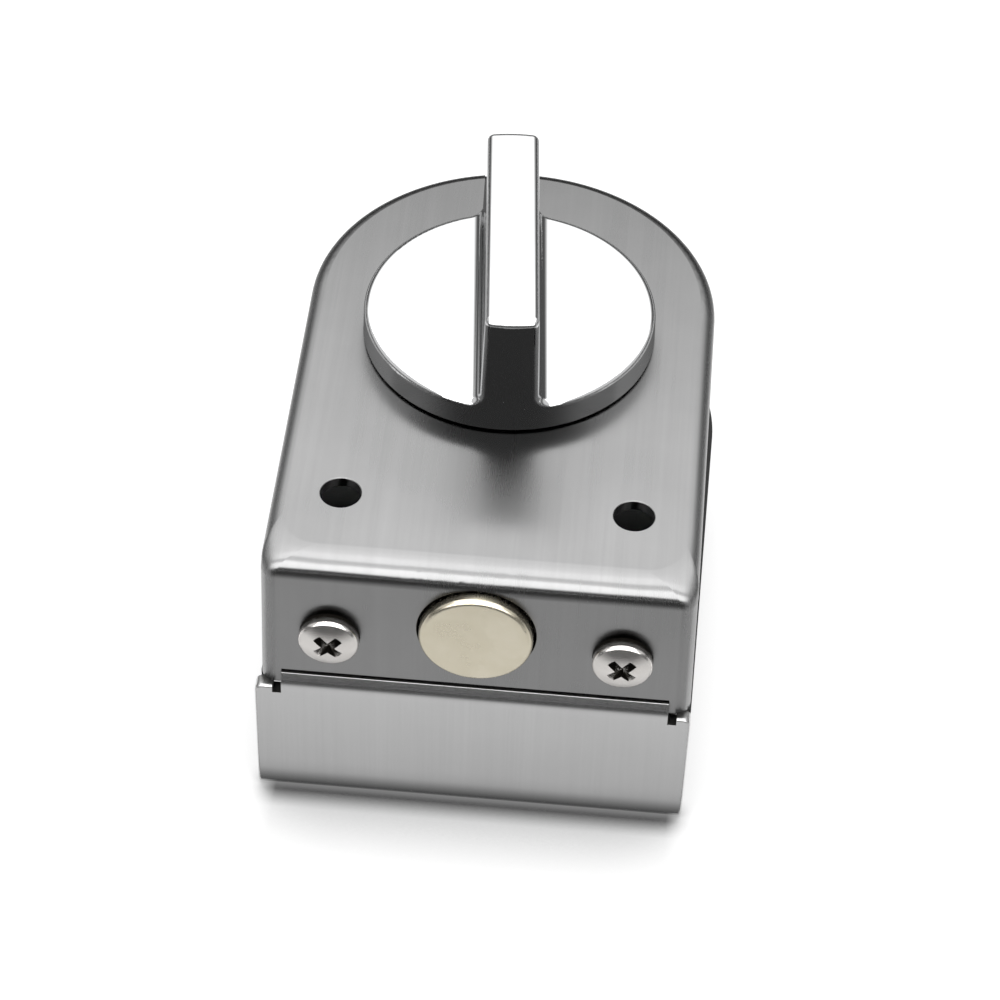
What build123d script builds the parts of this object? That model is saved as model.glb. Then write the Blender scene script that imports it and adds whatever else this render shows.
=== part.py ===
from build123d import *
import math
import os

# Glass door floor bolt, in millimetres.
# It lies on its back: Z = 0 is the outer face of the back plate, the turn stands up along +Z
# and the bolt is thrown along -Y. X = 0 is the middle plane, Y = 0 is the turn's axis.

# Stack from the back plate to the case's face
GLASS_T = 12.0  # thickest glass the lock takes
GLASS_CLEAR = 0.1  # room left beside that glass
PLATE_T = 1.5  # sheet of the back plate
PAD_T = 1.0  # rubber pads
CASE_T = 1.2  # sheet of the front case
CASE_DEPTH = 17.9  # case rim to case face
RIM_GAP = 0.05  # pad under the case's rim

# Front case
CASE_W = 43.0  # width across the flat face
CASE_FLARE = 0.35  # lean of the side walls over their depth, per side
END_TO_AXIS = 35.6  # end wall's outer face to the turn's axis
ROUND_TO_AXIS = 5.05  # centre of the half-round end to the turn's axis
END_BEND_R = 2.7  # outer bend between face and end wall
SIDE_BEND_R = 1.5  # outer bend along the sides and the far end
FLAT_CORNER_R = 3.8  # near corners of the flat face, seen from above
UPRIGHT_R = 1.6  # the same corners down the walls
INNER_BEND_MIN = 0.3  # smallest inner bend
BEND_STEPS = 9  # outlines that the drawn bends run through
TAB_W = 2.2  # tabs at the end wall's lower corners
TAB_DROP = 1.9  # how far the tabs reach below the end wall

# Thumb turn
TURN_D = 30.6  # disc and blade, across the base
TURN_LIFT = 0.3  # gap between disc and case
TURN_DISC_T = 3.2  # thickness of the disc
TURN_DRAFT = 1.4  # draft of the rim, degrees
BLADE_H = 11.2  # blade above the disc
BLADE_W = 5.4  # blade across its top
BLADE_DRAFT = 1.7  # draft of the blade's flanks, degrees
BLADE_ROOT_R = 1.2  # fillet between blade and disc
TURN_EDGE_R = 0.75  # rounding of the outer edges
REST_TURN = 4.6  # how far the stored turn is past fully drawn back, degrees

# Bolt and its travel
BOLT_D = 11.4
BOLT_RUN = 0.05  # running clearance in the body, radial
BOLT_BELOW_FACE = 8.2  # bolt axis below the case's face
TAIL_CLEAR = 1.0  # bolt's tail to the crank's hub, fully drawn back
BOLT_PROUD = 1.25  # nose beyond the end wall in the stored position
BOLT_EDGE_R = 0.5  # rounding of the nose
BOLT_HOLE_D = 12.0  # hole in the end wall
THROW = 12.0  # travel over a quarter turn
SWING = 90.0  # the turn's whole travel, degrees

# Access holes and the set screws behind them
ACCESS_D = 4.1
ACCESS_TO_SIDE = 6.85  # from the side of the flat face
ACCESS_TO_END = 9.9  # from the end wall's outer face
ACCESS_EDGE = 0.08  # deburred edge
SET_D = 5.0
SET_LEN = 10.0
SET_HEX = 2.5  # across flats
SET_HEX_DEEP = 2.6
THREAD_CLEAR = 0.05  # plain screws in plain holes, radial

# End screws
END_SCREW_BELOW_FACE = 10.2
END_SCREW_D = 3.0
END_SCREW_LEN = 6.0
END_HEAD_D = 6.1
END_HEAD_H = 1.9
END_HEAD_R = 0.45  # rounding of the head
END_CROWN_R = 7.5  # dome over the head
SCREW_CLEAR = 0.2  # clearance holes, radial

# Back plate and its flange
BACK_SIDE = 0.35  # back plate beyond the case's rim, per side
BACK_SHIFT = -0.2  # back plate off centre, flush with the rim's bend on the right
BACK_BEND_R = 0.7  # outer bend between plate and flange, pressed sharp
BACK_BEND_IN = 0.35  # the same bend inside
EAR_R = 0.9  # top corners of the flange
FLANGE_PROUD = 0.8  # flange beyond the end wall
TONGUE_GAP = 0.1  # tongue behind the end wall
TONGUE_NOTCH_W = 0.9  # relief notches beside the tongue
TONGUE_NOTCH_DEEP = 0.9
LEAN_IN = 0.65  # how far the tongue leans in below its shoulder
LEAN_DEEP = 1.35  # height of that lean
LEAN_R = 3.0
SHOULDER_BELOW_WALL = 0.35  # shoulder under the end wall's edge
SHOULDER_R = 0.1
STEP_R = 0.3  # inner bends of the step
STEP_BACK_R = 1.0  # outer bend of the step, inside the case
TONGUE_ABOVE_SCREW = 3.6  # metal above the end screws
TONGUE_CORNER_R = 2.5
TONGUE_BOLT_CLEAR = 0.9  # room round the bolt, radial
FLANGE_EDGE_R = 0.35

# Lock body
BODY_SIDE_GAP = 1.3  # between the case's wall and the body, per side
BODY_TONGUE_GAP = 0.1  # between tongue and body
BODY_CASE_GAP = 0.05  # under the case's face
BODY_CORNER_R = 2.0
ROOF_T = 2.45  # metal over the cavity
CAVITY_SIDE_CLEAR = 0.6  # room beside the yoke
CAVITY_NEAR_CLEAR = 0.9  # room before the thrown yoke
CAVITY_FAR_CLEAR = 2.4  # room behind the yoke
CAVITY_R = 2.0
SPAN_ABOVE_PLATE = 0.45  # body above the pressure plate
POCKET_W = 10.0  # lightening pocket at the far end
POCKET_L = 5.0
POCKET_DEEP = 9.0

# Cover of the cavity
COVER_T = 1.1
COVER_GAP = 0.05
COVER_TO_SIDE = 1.8  # from the body's side
COVER_LAP_NEAR = 2.0  # over the cavity's near edge
COVER_LAP_FAR = 1.1
COVER_R = 4.5
COVER_SCREW_TO_SIDE = 2.1  # from the cover's side
COVER_SCREW_TO_END = 5.0
COVER_SCREW_D = 2.0
COVER_SCREW_LEN = 5.0
COVER_HEAD_D = 3.7

# Spindle and what rides on it
SPINDLE_D = 8.0
SPINDLE_RUN = 0.05  # running clearance in the bush, radial
SPINDLE_SQUARE = 5.6
SQUARE_CLEAR = 0.03  # per side
TANG_T = 3.0
TANG_W = 7.2
TANG_H = 7.5
TANG_CLEAR = 0.02  # per side
TIP_D = 5.0
TIP_BELOW_CLIP = 0.4
BUSH_D = 11.0
BUSH_PRESS = 0.02  # radial gap of the pressed bush
BUSH_CASE_CLEAR = 0.1  # bush in the case's hole, radial
BUSH_FLANGE_D = 18.0
BUSH_FLANGE_T = 0.6
WASHER_D = 17.0
WASHER_T = 0.3
WASHER_CLEAR = 0.03  # play above and below the washer
FLANGE_ROOM = 0.4  # turn's recess round the bush's flange, radial
SPRING_D = 12.4
SPRING_T = 0.35
SPRING_H = 0.56
SPRING_PLAY = 0.02
CLIP_D = 9.2
CLIP_T = 0.6
CLIP_GROOVE_D = 4.2
CLIP_CLEAR = 0.04
CLIP_MOUTH = 3.4

# Crank
CRANK_T = 2.4
CRANK_HUB_D = 12.4
CRANK_BOSS_D = 6.4
CRANK_PIN_D = 3.0
PIN_BELOW_YOKE = 0.7

# Yoke
YOKE_T = 1.95
YOKE_FLAT_BELOW_AXIS = 0.8  # the bolt's flat below its axis
YOKE_FLAT_GAP = 0.05
YOKE_FLAT_LEN = 10.6
YOKE_NECK_W = 9.0
YOKE_SLOT_PLAY = 0.6  # crank pin in the slot, per side
YOKE_EDGE = 2.0  # metal round the slot
YOKE_CORNER_R = 1.2
YOKE_LIP = 2.6  # how far the wide part stands out past the neck
YOKE_NECK_SHORT = 0.6  # neck ends before the flat does
YOKE_SCREW_D = 2.5
YOKE_SCREW_LEN = 5.5
YOKE_HEAD_D = 4.4
YOKE_SCREW_PITCH = 5.0
YOKE_SCREW_FROM_TAIL = 2.6

# Clamp
PRESS_T = 2.0
PRESS_SIDE_GAP = 0.3  # between the case's wall and the plate, per side
PRESS_TO_TONGUE = 0.4
PRESS_DIMPLE = 0.5
DIMPLE_ROOM = 0.3  # dimple round the set screw, radial
FRONT_PAD_SIDE = 0.1  # pad beyond the case's rim, per side
PAD_EAR_GAP = 0.45  # pad's ears behind the flange
PAD_EAR_CLEAR = 0.7  # pad's ears beside the tongue
FRONT_PAD_SKEW = -0.8  # pad stuck on slightly askew, degrees about its near end
BACK_PAD_SIDE = 1.5  # inside the back plate's edge, per side
BACK_PAD_INSET = 1.0  # from the flange's inner face
GUIDE_D = 3.0
GUIDE_RUN = 0.05
GUIDE_X = 9.0
GUIDE_TO_END = 6.1  # from the pressure plate's far end
GUIDE_H = 10.4
GUIDE_SPARE = 0.5  # hole beyond the dowel's end

# Cross recesses
CROSS_W = 0.95
CROSS_SPAN = 3.6
CROSS_DEEP = 1.3
SMALL_CROSS = 0.52  # size of the small screws' recess against the end screws'

# Heights
Z_GLASS_BACK = PLATE_T + PAD_T
Z_GLASS_FRONT = Z_GLASS_BACK + GLASS_T + GLASS_CLEAR
Z_RIM = Z_GLASS_FRONT + PAD_T
Z_WALL_EDGE = Z_RIM + TAB_DROP
Z_SHOULDER = Z_WALL_EDGE - SHOULDER_BELOW_WALL
Z_FACE = Z_RIM + CASE_DEPTH
Z_CEILING = Z_FACE - CASE_T
Z_BOLT = Z_FACE - BOLT_BELOW_FACE
Z_END_SCREW = Z_FACE - END_SCREW_BELOW_FACE
Z_PAD_TOP = Z_RIM - RIM_GAP
Z_PRESS_TOP = Z_PAD_TOP + PRESS_T
Z_BODY = Z_PRESS_TOP + SPAN_ABOVE_PLATE
Z_BODY_TOP = Z_CEILING - BODY_CASE_GAP
Z_ROOF = Z_BODY_TOP - ROOF_T
Z_COVER = Z_BODY + COVER_T + COVER_GAP
Z_FLANGE_TOP = Z_FACE + BUSH_FLANGE_T
Z_TURN = Z_FACE + TURN_LIFT
Z_TURN_TOP = Z_TURN + TURN_DISC_T
Z_BLADE_TOP = Z_TURN_TOP + BLADE_H
Z_RECESS = Z_FLANGE_TOP + WASHER_T + 2 * WASHER_CLEAR
Z_CRANK_TOP = Z_ROOF - SPRING_H - 2 * SPRING_PLAY
Z_CRANK = Z_CRANK_TOP - CRANK_T
Z_CLIP = Z_CRANK - CLIP_CLEAR - CLIP_T
Z_TIP = Z_CLIP - CLIP_CLEAR - TIP_BELOW_CLIP
Z_FLAT = Z_BOLT - YOKE_FLAT_BELOW_AXIS
Z_YOKE_TOP = Z_FLAT - YOKE_FLAT_GAP
Z_YOKE = Z_YOKE_TOP - YOKE_T
Z_SET = Z_PRESS_TOP - PRESS_DIMPLE + RIM_GAP

# Widths
RIM_W = CASE_W + 2 * CASE_FLARE
INSIDE_W = CASE_W - 2 * CASE_T
BACK_W = RIM_W + 2 * BACK_SIDE
FRONT_PAD_W = RIM_W + 2 * FRONT_PAD_SIDE
BACK_PAD_W = BACK_W - 2 * BACK_PAD_SIDE
PRESS_W = INSIDE_W - 2 * PRESS_SIDE_GAP
BODY_W = INSIDE_W - 2 * BODY_SIDE_GAP
COVER_W = BODY_W - 2 * COVER_TO_SIDE
COVER_SCREW_X = COVER_W / 2 - COVER_SCREW_TO_SIDE
ACCESS_X = CASE_W / 2 - ACCESS_TO_SIDE
X_TAB = RIM_W / 2 - TAB_W

# Positions along Y
Y_END = -END_TO_AXIS
Y_WALL = Y_END + CASE_T
Y_FLANGE = Y_END - FLANGE_PROUD
Y_FLANGE_IN = Y_FLANGE + PLATE_T
Y_TONGUE = Y_WALL + TONGUE_GAP
Y_TONGUE_IN = Y_TONGUE + PLATE_T
Y_BODY = Y_TONGUE_IN + BODY_TONGUE_GAP
Y_SET = Y_END + ACCESS_TO_END
Y_ROUND = ROUND_TO_AXIS
Y_NOSE = Y_END - BOLT_PROUD
Y_GUIDE = Y_ROUND + PRESS_W / 2 - GUIDE_TO_END

# The crank pin swings half the travel to each side of square, so its radius follows from the throw
PIN_R = THROW / 2 / math.sin(math.radians(SWING / 2))
REST_SHIFT = THROW * REST_TURN / SWING
PIN_ANGLE = 180 - SWING / 2 + REST_TURN
PIN_X = PIN_R * math.cos(math.radians(PIN_ANGLE))
PIN_Y = PIN_R * math.sin(math.radians(PIN_ANGLE))
SLOT_Y = THROW / 2 - REST_SHIFT
SLOT_NEAR_X = THROW / 2
SLOT_R = CRANK_PIN_D / 2 + YOKE_SLOT_PLAY
Y_TAIL = -CRANK_HUB_D / 2 - TAIL_CLEAR - REST_SHIFT

# The cavity follows the yoke's travel, and the cover follows the cavity
YOKE_REACH = SLOT_R + YOKE_EDGE
CAVITY_X = PIN_R + YOKE_REACH + CAVITY_SIDE_CLEAR
Y_CAVITY_NEAR = Y_TAIL + YOKE_CORNER_R - THROW - CAVITY_NEAR_CLEAR
Y_CAVITY_FAR = THROW / 2 + YOKE_REACH + CAVITY_FAR_CLEAR
Y_COVER_NEAR = Y_CAVITY_NEAR - COVER_LAP_NEAR
Y_COVER_FAR = Y_CAVITY_FAR + COVER_LAP_FAR


def box(x0, x1, y0, y1, z0, z1):
    """Block between two corners."""
    size = Box(x1 - x0, y1 - y0, z1 - z0)
    return Pos((x0 + x1) / 2, (y0 + y1) / 2, (z0 + z1) / 2) * size


def post(x, y, radius, z0, z1):
    """Upright cylinder."""
    return Pos(x, y, (z0 + z1) / 2) * Cylinder(radius, z1 - z0)


def rod(x, z, radius, y0, y1):
    """Cylinder along Y."""
    return Pos(x, (y0 + y1) / 2, z) * Rot(90, 0, 0) * Cylinder(radius, y1 - y0)


def mirrored(shape):
    """The shape and its mirror image across the middle plane."""
    return shape + mirror(shape, Plane.YZ)


def round_ended(width, y_start):
    """Outline with straight sides and a half-round far end."""
    half = width / 2
    strip = Pos(0, (y_start + Y_ROUND) / 2) * Rectangle(width, Y_ROUND - y_start)
    return strip + Pos(0, Y_ROUND) * Circle(half)


def slab(width, y_start, z0, z1):
    """Round-ended plate."""
    return Pos(0, 0, z0) * extrude(round_ended(width, y_start), z1 - z0)


def joined(parts):
    """Several separate solids as one group."""
    return Compound(children=[solid for part in parts for solid in part.solids()])


# Front case


def bend_in(radius, depth):
    """How far a bend stands in from its wall at a depth below the face."""
    if depth >= radius:
        return 0
    return radius - math.sqrt(radius**2 - (radius - depth) ** 2)


def case_outline(inset, depth):
    """Outline of the case, smaller by the inset, at a depth below that inset face."""
    end_r = END_BEND_R - inset
    side_r = max(SIDE_BEND_R - inset, INNER_BEND_MIN)
    below = depth + inset
    lean = CASE_FLARE * below / CASE_DEPTH
    half = CASE_W / 2 + lean - inset - bend_in(side_r, depth)
    end_in = bend_in(end_r, depth)
    y_near = Y_END + inset + end_in
    corners = [(-half, Y_ROUND), (-half, y_near), (half, y_near), (half, Y_ROUND)]
    far = ThreePointArc(corners[-1], (0, Y_ROUND + half), corners[0])
    face = make_face([*Polyline(*corners).edges(), far])
    # the corners are wide where the flat face ends and tighten down to the walls
    tight = max(UPRIGHT_R - inset, INNER_BEND_MIN)
    radius = tight + (FLAT_CORNER_R - UPRIGHT_R) * end_in / end_r
    face = fillet(face.vertices().group_by(Axis.Y)[0], radius)
    return Pos(0, 0, Z_FACE - below) * face


def case_block(inset, drop):
    """Solid block of the case with its drawn bends, smaller than the outside by the inset."""
    end_r = END_BEND_R - inset
    turns = [math.radians(90 * step / BEND_STEPS) for step in range(BEND_STEPS + 1)]
    outlines = [case_outline(inset, end_r * (1 - math.cos(turn))) for turn in turns]
    rim = case_outline(inset, CASE_DEPTH - inset + drop)
    return loft(outlines) + loft([outlines[-1], rim], ruled=True)


def front_case():
    """Drawn shell: leaning sides, half-round end, big end bend, tabs and punched holes."""
    outside = Y_END - CASE_T
    inside = Y_WALL + CASE_T
    shell = case_block(0, 0) - case_block(CASE_T, CASE_T)
    shell -= box(-X_TAB, X_TAB, outside, inside, Z_RIM - CASE_T, Z_WALL_EDGE)
    shell -= rod(0, Z_BOLT, BOLT_HOLE_D / 2, outside, inside)
    screw_r = END_SCREW_D / 2 + SCREW_CLEAR
    shell -= mirrored(rod(ACCESS_X, Z_END_SCREW, screw_r, outside, inside))
    z_low = Z_CEILING - CASE_T
    z_high = Z_FACE + CASE_T
    shell -= mirrored(post(ACCESS_X, Y_SET, ACCESS_D / 2, z_low, z_high))
    deburr = Pos(ACCESS_X, Y_SET, Z_FACE - ACCESS_EDGE / 2)
    cone = Cone(ACCESS_D / 2, ACCESS_D / 2 + ACCESS_EDGE, ACCESS_EDGE)
    shell -= mirrored(deburr * cone)
    shell -= post(0, 0, BUSH_D / 2 + BUSH_CASE_CLEAR, z_low, z_high)
    return shell


# Back plate


def bent_section(points, bends):
    """Sheet outline in the YZ plane, with each named corner rounded."""
    face = make_face(Polyline(*[(y, z) for y, z in points], close=True))
    for (y, z), radius in bends:
        corner = face.vertices().sort_by_distance((y, z))[0]
        face = fillet(corner, radius)
    return face


def along_x(face, x0, x1):
    """Section in the YZ plane drawn out between two planes across X."""
    plane = Plane(origin=(x0, 0, 0), x_dir=(0, 1, 0), z_dir=(1, 0, 0))
    return extrude(plane * face, x1 - x0)


def flange_section(z_top):
    """Plate and flange as one folded strip."""
    y_far = Y_FLANGE + 3 * BACK_BEND_R
    corner = (Y_FLANGE, 0)
    inner = (Y_FLANGE_IN, PLATE_T)
    points = [
        (y_far, 0),
        corner,
        (Y_FLANGE, z_top),
        (Y_FLANGE_IN, z_top),
        inner,
        (y_far, PLATE_T),
    ]
    return bent_section(points, [(corner, BACK_BEND_R), (inner, BACK_BEND_IN)])


def tongue_section(z_start, z_top):
    """Strip that leans in from the flange, steps under the end wall and runs up behind it."""
    lean = (Y_FLANGE, Z_SHOULDER - LEAN_DEEP)
    shoulder = (Y_FLANGE + LEAN_IN, Z_SHOULDER)
    root = (Y_TONGUE, Z_SHOULDER)
    under = (Y_FLANGE_IN, Z_SHOULDER - PLATE_T)
    back = (Y_TONGUE_IN, Z_SHOULDER - PLATE_T)
    points = [
        (Y_FLANGE, z_start),
        lean,
        shoulder,
        root,
        (Y_TONGUE, z_top),
        (Y_TONGUE_IN, z_top),
        back,
        under,
        (Y_FLANGE_IN, z_start),
    ]
    bends = [
        (lean, LEAN_R),
        (shoulder, SHOULDER_R),
        (root, STEP_R),
        (back, STEP_BACK_R),
        (under, STEP_R),
    ]
    return bent_section(points, bends)


def tongue():
    """Stepped tongue with its bolt notch and screw holes."""
    z_start = Z_RIM - TONGUE_NOTCH_DEEP - PLATE_T
    z_top = Z_END_SCREW + TONGUE_ABOVE_SCREW
    strip = along_x(tongue_section(z_start, z_top), -X_TAB, X_TAB)
    ears = strip.edges().filter_by(Axis.Y).group_by(Axis.Z)[-1]
    strip = fillet(ears, TONGUE_CORNER_R)
    clear = BOLT_D / 2 + TONGUE_BOLT_CLEAR
    y0 = Y_TONGUE - PLATE_T
    y1 = Y_TONGUE_IN + PLATE_T
    strip -= rod(0, Z_BOLT, clear, y0, y1)
    strip -= box(-clear, clear, y0, y1, Z_BOLT, z_top + PLATE_T)
    hole = rod(ACCESS_X, Z_END_SCREW, END_SCREW_D / 2 + SCREW_CLEAR, y0, y1)
    return strip - mirrored(hole)


def back_plate():
    """Folded plate: round-ended back, end flange, notched shoulders and tongue."""
    half = BACK_W / 2
    plate = slab(BACK_W, Y_FLANGE + 2 * BACK_BEND_R, 0, PLATE_T)
    flange = along_x(flange_section(Z_RIM), -half, half)
    across = flange.edges().filter_by(Axis.Y).group_by(Axis.Z)[-1]
    flange = fillet(across, EAR_R)
    upright = flange.edges().filter_by(Axis.Z).group_by(Axis.Y)[0]
    flange = fillet(upright, FLANGE_EDGE_R)
    off_centre = Pos(BACK_SHIFT, 0, 0)
    flange = off_centre * flange
    z_notch = Z_RIM - TONGUE_NOTCH_DEEP
    notch_x = X_TAB + TONGUE_NOTCH_W
    y_out = Y_FLANGE - PLATE_T
    y_in = Y_FLANGE_IN + PLATE_T
    flange -= box(-notch_x, notch_x, y_out, y_in, z_notch, Z_RIM + PLATE_T)
    flange -= box(-X_TAB, X_TAB, y_out, y_in, z_notch - PLATE_T, z_notch)
    return off_centre * plate + flange + tongue()


# Lock body


def body_block():
    """Cast block with rounded corners, before its holes."""
    block = slab(BODY_W, Y_BODY, Z_BODY, Z_BODY_TOP)
    front = block.edges().filter_by(Axis.Z).group_by(Axis.Y)[0]
    return fillet(front, BODY_CORNER_R)


def cavity():
    """Room for the crank and the yoke, with the cover's recess below it."""
    room = box(-CAVITY_X, CAVITY_X, Y_CAVITY_NEAR, Y_CAVITY_FAR, Z_BODY, Z_ROOF)
    room = fillet(room.edges().filter_by(Axis.Z), CAVITY_R)
    return room + cover_outline(0, Z_BODY, Z_COVER)


def cover_outline(gap, z0, z1):
    """Rounded plate of the cover, smaller than its recess by the gap."""
    half = COVER_W / 2 - gap
    plate = box(-half, half, Y_COVER_NEAR + gap, Y_COVER_FAR - gap, z0, z1)
    return fillet(plate.edges().filter_by(Axis.Z), COVER_R - gap)


def cover_places():
    """The four cover screws, seen from above."""
    return [
        (side * COVER_SCREW_X, y)
        for side in (-1, 1)
        for y in (Y_COVER_NEAR + COVER_SCREW_TO_END, Y_COVER_FAR - COVER_SCREW_TO_END)
    ]


def lock_body():
    """Die-cast block: bolt bore, cavity, bush seat, and every screw and dowel hole."""
    bore_r = BOLT_D / 2 + BOLT_RUN
    groove_end = -BUSH_D / 2 - ROOF_T / 2
    body = body_block() - cavity()
    body -= rod(0, Z_BOLT, bore_r, Y_BODY - CASE_T, groove_end)
    body -= post(0, 0, BUSH_D / 2 + BUSH_PRESS, Z_ROOF - CASE_T, Z_FACE)
    body -= mirrored(post(ACCESS_X, Y_SET, SET_D / 2, Z_BODY - CASE_T, Z_FACE))
    tip = Y_END + END_SCREW_LEN + SCREW_CLEAR
    body -= mirrored(rod(ACCESS_X, Z_END_SCREW, END_SCREW_D / 2, Y_BODY - CASE_T, tip))
    for x, y in cover_places():
        z_tip = Z_BODY + COVER_SCREW_LEN + SCREW_CLEAR
        body -= post(x, y, COVER_SCREW_D / 2, Z_BODY, z_tip)
    guide_top = Z_PAD_TOP + GUIDE_H + GUIDE_SPARE
    guide_r = GUIDE_D / 2 + GUIDE_RUN
    body -= mirrored(post(GUIDE_X, Y_GUIDE, guide_r, Z_BODY - CASE_T, guide_top))
    half = POCKET_W / 2
    pocket = box(-half, half, -POCKET_L / 2, POCKET_L / 2, Z_BODY, Z_BODY + POCKET_DEEP)
    pocket = fillet(pocket.edges().filter_by(Axis.Z), BODY_CORNER_R / 2)
    return body - Pos(0, Y_GUIDE, 0) * pocket


def body_cover():
    """Flat cover with countersunk holes."""
    cover = cover_outline(COVER_GAP, Z_BODY, Z_BODY + COVER_T)
    for x, y in cover_places():
        cover -= countersink(x, y, Z_BODY, COVER_SCREW_D, COVER_HEAD_D)
    return cover


# Screws


def countersink(x, y, z, shank_d, head_d):
    """Cutter for a countersunk hole whose wide end is below."""
    wide = head_d / 2 + SCREW_CLEAR / 2
    narrow = shank_d / 2 + SCREW_CLEAR
    cone = Pos(x, y, z + (wide - narrow) / 2) * Cone(wide, narrow, wide - narrow)
    return cone + post(x, y, narrow, z - CASE_T, z + head_d)


def cross_recess(share):
    """Cutter for a cross recess, pointing down from the origin."""
    span = CROSS_SPAN * share
    deep = CROSS_DEEP * share
    arm = Box(span, CROSS_W * share, 2 * deep)
    cross = arm + Rot(0, 0, 90) * arm
    tip = Pos(0, 0, -deep / 2) * Cone(CROSS_W * share / 2, span / 2, deep)
    return cross & (tip + Pos(0, 0, deep / 2) * Cylinder(span / 2, deep))


def flat_head_screw(shank_d, length, head_d):
    """Countersunk screw standing on its head, tip up, head face at the origin."""
    shank_r = shank_d / 2 - THREAD_CLEAR
    taper = head_d / 2 - shank_r
    head = Pos(0, 0, taper / 2) * Cone(head_d / 2, shank_r, taper)
    screw = head + post(0, 0, shank_r, 0, length)
    screw = chamfer(screw.edges().sort_by(Axis.Z)[-1], shank_r / 4)
    return screw - Rot(180, 0, 0) * cross_recess(SMALL_CROSS)


def pan_head_screw():
    """End screw with its head up, seat at the origin."""
    head = post(0, 0, END_HEAD_D / 2, 0, END_HEAD_H)
    head = head & Pos(0, 0, END_HEAD_H - END_CROWN_R) * Sphere(END_CROWN_R)
    rims = head.edges().filter_by(GeomType.CIRCLE).filter_by(Plane.XY)
    head = fillet(rims.sort_by(Axis.Z)[-1], END_HEAD_R)
    shank_r = END_SCREW_D / 2 - THREAD_CLEAR
    screw = head + post(0, 0, shank_r, -END_SCREW_LEN, 0)
    screw = chamfer(screw.edges().sort_by(Axis.Z)[0], shank_r / 4)
    return screw - Pos(0, 0, END_HEAD_H) * Rot(0, 0, 45) * cross_recess(1)


def end_screws():
    """Both pan head screws of the end wall."""
    screw = Rot(90, 0, 0) * pan_head_screw()
    return joined([Pos(side * ACCESS_X, Y_END, Z_END_SCREW) * screw for side in (-1, 1)])


def cover_screws():
    """The four countersunk screws of the cover."""
    screw = flat_head_screw(COVER_SCREW_D, COVER_SCREW_LEN, COVER_HEAD_D)
    return joined([Pos(x, y, Z_BODY) * screw for x, y in cover_places()])


def set_screw():
    """Socket set screw, tip at the origin."""
    radius = SET_D / 2 - THREAD_CLEAR
    screw = post(0, 0, radius, 0, SET_LEN)
    screw = chamfer(screw.edges().filter_by(GeomType.CIRCLE), radius / 5)
    socket = extrude(RegularPolygon(SET_HEX / 2, 6, major_radius=False), SET_HEX_DEEP)
    return screw - Pos(0, 0, SET_LEN - SET_HEX_DEEP) * socket


def clamp_screws():
    """Both set screws, resting on the pressure plate."""
    return joined([Pos(side * ACCESS_X, Y_SET, Z_SET) * set_screw() for side in (-1, 1)])


# Thumb turn


def turn_blank():
    """Disc and drafted blade, trimmed by one leaning rim."""
    disc = post(0, 0, TURN_D, Z_TURN, Z_TURN_TOP)
    spread = BLADE_H * math.tan(math.radians(BLADE_DRAFT))
    foot = BLADE_W + 2 * spread
    section = make_face(
        Polyline(
            (-foot / 2, Z_TURN_TOP - TURN_LIFT),
            (-foot / 2, Z_TURN_TOP),
            (-BLADE_W / 2, Z_BLADE_TOP),
            (BLADE_W / 2, Z_BLADE_TOP),
            (foot / 2, Z_TURN_TOP),
            (foot / 2, Z_TURN_TOP - TURN_LIFT),
            close=True,
        )
    )
    blade = extrude(Plane.XZ * section, TURN_D, both=True)
    height = Z_BLADE_TOP - Z_TURN
    top_r = TURN_D / 2 - height * math.tan(math.radians(TURN_DRAFT))
    rim = Pos(0, 0, (Z_TURN + Z_BLADE_TOP) / 2) * Cone(TURN_D / 2, top_r, height)
    return (disc + blade) & rim


def thumb_turn():
    """Disc and blade with blended roots, rounded edges and the recess below."""
    blank = turn_blank().solid()
    roots = blank.edges().filter_by(Axis.Y)
    roots = [e for e in roots if abs(e.center().Z - Z_TURN_TOP) < TURN_LIFT / 2]
    blank = blank.fillet(BLADE_ROOT_R, roots)
    rim = blank.faces().filter_by(GeomType.CONE).edges()
    rim = [e for e in rim if e.center().Z > Z_TURN + TURN_LIFT]
    top = blank.faces().sort_by(Axis.Z)[-1].edges()
    blank = blank.fillet(TURN_EDGE_R, list(ShapeList(rim + list(top))))
    recess_r = BUSH_FLANGE_D / 2 + FLANGE_ROOM
    blank -= post(0, 0, recess_r, Z_TURN - TURN_LIFT, Z_RECESS)
    half_t = TANG_T / 2 + TANG_CLEAR
    half_w = TANG_W / 2 + TANG_CLEAR
    z_top = Z_RECESS + TANG_H + TANG_CLEAR
    blank -= box(-half_t, half_t, -half_w, half_w, Z_RECESS, z_top)
    return Rot(0, 0, REST_TURN) * blank


def turn_spindle():
    """Steel spindle: tang, journal, square, and grooved tip."""
    square = SPINDLE_SQUARE / 2
    z_square = Z_ROOF - SPRING_H
    spindle = post(0, 0, SPINDLE_D / 2, z_square, Z_RECESS)
    spindle += box(-TANG_T / 2, TANG_T / 2, -TANG_W / 2, TANG_W / 2, Z_RECESS, Z_RECESS + TANG_H)
    spindle += box(-square, square, -square, square, Z_CRANK - CLIP_CLEAR, z_square)
    spindle += post(0, 0, TIP_D / 2, Z_TIP, Z_CRANK)
    z_groove = Z_CLIP - CLIP_CLEAR
    groove = post(0, 0, TIP_D, z_groove, Z_CRANK - CLIP_CLEAR)
    groove -= post(0, 0, CLIP_GROOVE_D / 2, z_groove, Z_CRANK - CLIP_CLEAR)
    return Rot(0, 0, REST_TURN) * (spindle - groove)


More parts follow.
